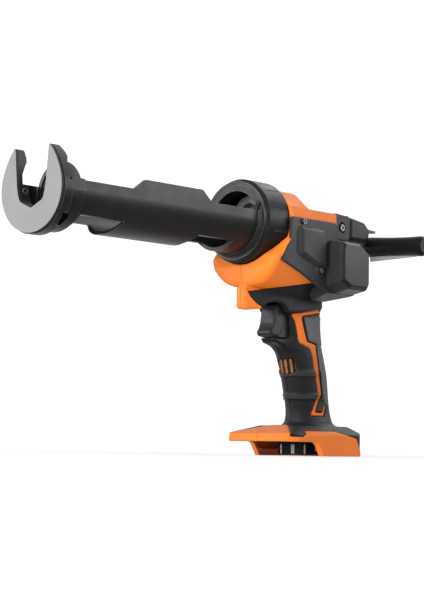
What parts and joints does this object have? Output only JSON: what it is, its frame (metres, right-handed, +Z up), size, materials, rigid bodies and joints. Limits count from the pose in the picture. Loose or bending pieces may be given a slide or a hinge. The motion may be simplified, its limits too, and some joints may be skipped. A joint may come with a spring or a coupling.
{
  "type": "cordless caulking gun",
  "caption": "Pistol-grip cordless caulking gun: an open cradle barrel with a forked front plate, a motor-driven rack plunger with a side pull handle, and a battery foot.",
  "frame": {"origin": "mid plane of the tool, on the plane of the base underside, under the terminal block where the battery pack slides on", "axes": "+X along the barrel axis, from the nozzle end to the rear handle; +Z up the grip to the barrel; -Y is the side of the motor and the pull handle"},
  "size_m": [0.4405, 0.1076, 0.2415],
  "materials": {
    "orange": "satin moulded plastic, fine spark texture",
    "grip_rubber": "matt textured soft-touch overmould",
    "black_plastic": "satin glass-filled plastic",
    "barrel_plastic": "satin glass-filled plastic",
    "handle_plastic": "semi-gloss moulded plastic",
    "plate_steel": "satin blasted steel",
    "rod_steel": "ground steel",
    "screw_steel": "zinc plated steel",
    "dial_plastic": "ribbed plastic",
    "contact_brass": "tin plated brass",
    "board_green": "solder mask",
    "wire_red": "insulated wire",
    "cast_alloy": "die cast",
    "winding_copper": "laminated core with windings",
    "bearing_bronze": "sintered bronze"
  },
  "bodies": {
    "housing": {"housing_left": "orange", "housing_right": "orange", "overmould_left": "grip_rubber", "overmould_right": "grip_rubber", "motor_cover": "black_plastic", "motor_end_cap": "black_plastic", "cover_screws": "screw_steel", "housing_screws": "screw_steel", "rear_guide": "black_plastic", "guide_screws": "screw_steel", "rod_bushing": "bearing_bronze", "lever_pin": "screw_steel", "drive_frame": "cast_alloy", "bearing_pinion_left": "bearing_bronze", "bearing_pinion_right": "bearing_bronze", "bearing_output": "bearing_bronze", "gearbox_case": "cast_alloy", "motor_can": "rod_steel", "motor_stator": "winding_copper", "switch_body": "black_plastic", "trigger_spring": "screw_steel", "dial_pin": "screw_steel", "control_board": "board_green", "terminal_block": "black_plastic", "battery_contacts": "contact_brass", "wire_pair": "wire_red"},
    "barrel": {"barrel": "barrel_plastic", "front_collar": "barrel_plastic", "front_plate": "plate_steel", "plate_screws": "screw_steel", "collar_screws": "screw_steel"},
    "lock_ring": {"lock_ring": "black_plastic"},
    "plunger": {"rack_rod": "rod_steel", "pusher_plate": "barrel_plastic", "pusher_screw": "screw_steel", "pull_handle": "handle_plastic", "handle_blade": "rod_steel", "handle_screw": "screw_steel"},
    "pinion": {"rack_pinion": "rod_steel", "drive_gear": "rod_steel"},
    "output": {"output_shaft": "rod_steel"},
    "rotor": {"motor_rotor": "rod_steel"},
    "trigger": {"trigger": "black_plastic"},
    "speed_dial": {"speed_dial": "dial_plastic"},
    "release_lever": {"release_lever": "black_plastic"}
  },
  "joints": [
    {"name": "plunger_slide", "type": "slide", "parent": "housing", "child": "plunger", "axis": [1, 0, 0], "range_m": [0, 0.2]},
    {"name": "pinion_spin", "type": "hinge", "parent": "housing", "child": "pinion", "pos_m": [-0.008, 0, 0.1907], "axis": [0, 1, 0], "continuous": true},
    {"name": "output_spin", "type": "hinge", "parent": "housing", "child": "output", "pos_m": [-0.008, 0, 0.16915], "axis": [0, 1, 0], "continuous": true},
    {"name": "rotor_spin", "type": "hinge", "parent": "housing", "child": "rotor", "pos_m": [-0.008, -0.044, 0.16915], "axis": [0, 1, 0], "continuous": true},
    {"name": "barrel_turn", "type": "hinge", "parent": "housing", "child": "barrel", "pos_m": [-0.097, 0, 0.2045], "axis": [1, 0, 0], "continuous": true},
    {"name": "lock_ring_turn", "type": "hinge", "parent": "housing", "child": "lock_ring", "pos_m": [-0.088, 0, 0.2045], "axis": [1, 0, 0], "range_deg": [0, 75]},
    {"name": "trigger_pull", "type": "slide", "parent": "housing", "child": "trigger", "axis": [1, 0, 0], "range_m": [0, 0.0085], "stiffness_N_per_m": 500, "springref_m": -0.008, "deforming": ["trigger_spring"]},
    {"name": "dial_turn", "type": "hinge", "parent": "housing", "child": "speed_dial", "pos_m": [-0.027, 0, 0.082], "axis": [0.2419, 0, -0.9703], "range_deg": [-130, 130]},
    {"name": "lever_press", "type": "hinge", "parent": "housing", "child": "release_lever", "pos_m": [0.024, -0.0117, 0.2107], "axis": [0, 1, 0], "range_deg": [0, 6], "stiffness_Nm_per_rad": 0.4, "springref_deg": -8.59}
  ],
  "couplings": [
    {"joint": "pinion_spin", "follows": "plunger_slide", "rad_per_m": 114.29},
    {"joint": "output_spin", "follows": "plunger_slide", "rad_per_m": -263.74}
  ]
}
